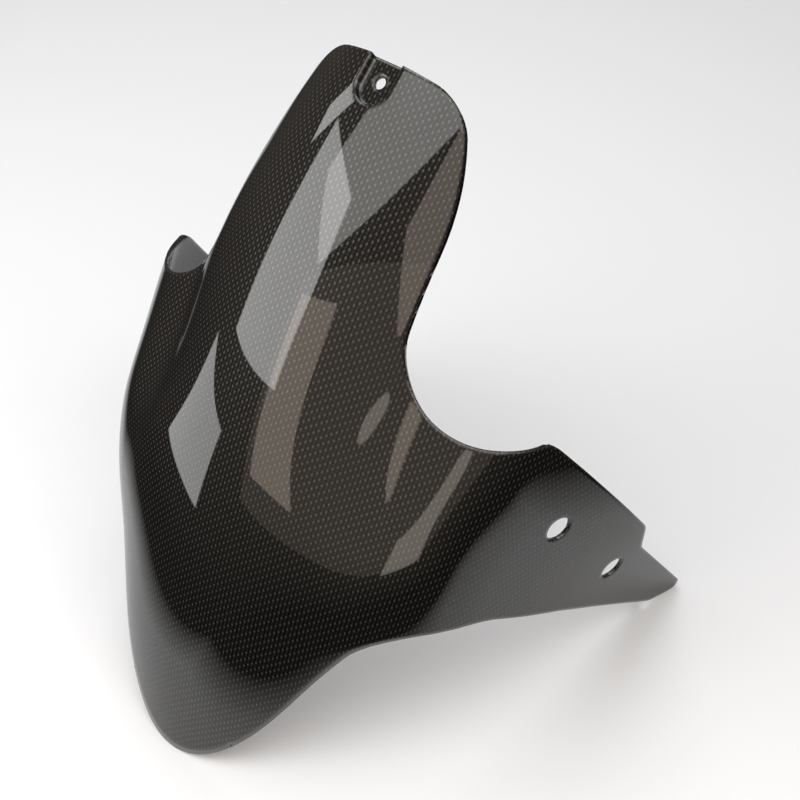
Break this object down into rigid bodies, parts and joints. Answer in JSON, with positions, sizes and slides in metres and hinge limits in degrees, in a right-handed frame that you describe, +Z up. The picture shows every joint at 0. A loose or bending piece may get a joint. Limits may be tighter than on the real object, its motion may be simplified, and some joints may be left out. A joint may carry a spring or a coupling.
{
  "type": "front mudguard",
  "caption": "Glossy carbon fibre front mudguard: arched crown from a narrow tail to a rounded nose, side wings with screw holes, round cut-outs for the fork legs.",
  "frame": {"origin": "floor under the middle of the bounding box, with the shell standing on its nose and both wing tips", "axes": "+X towards the nose, +Y towards the left wing across the mirror plane, +Z up"},
  "size_m": [0.2596, 0.2808, 0.3213],
  "materials": {
    "carbon_clearcoat": "plain weave carbon fibre under a clear gloss lacquer"
  },
  "bodies": {
    "root": {"mudguard_shell": "carbon_clearcoat"}
  },
  "joints": []
}
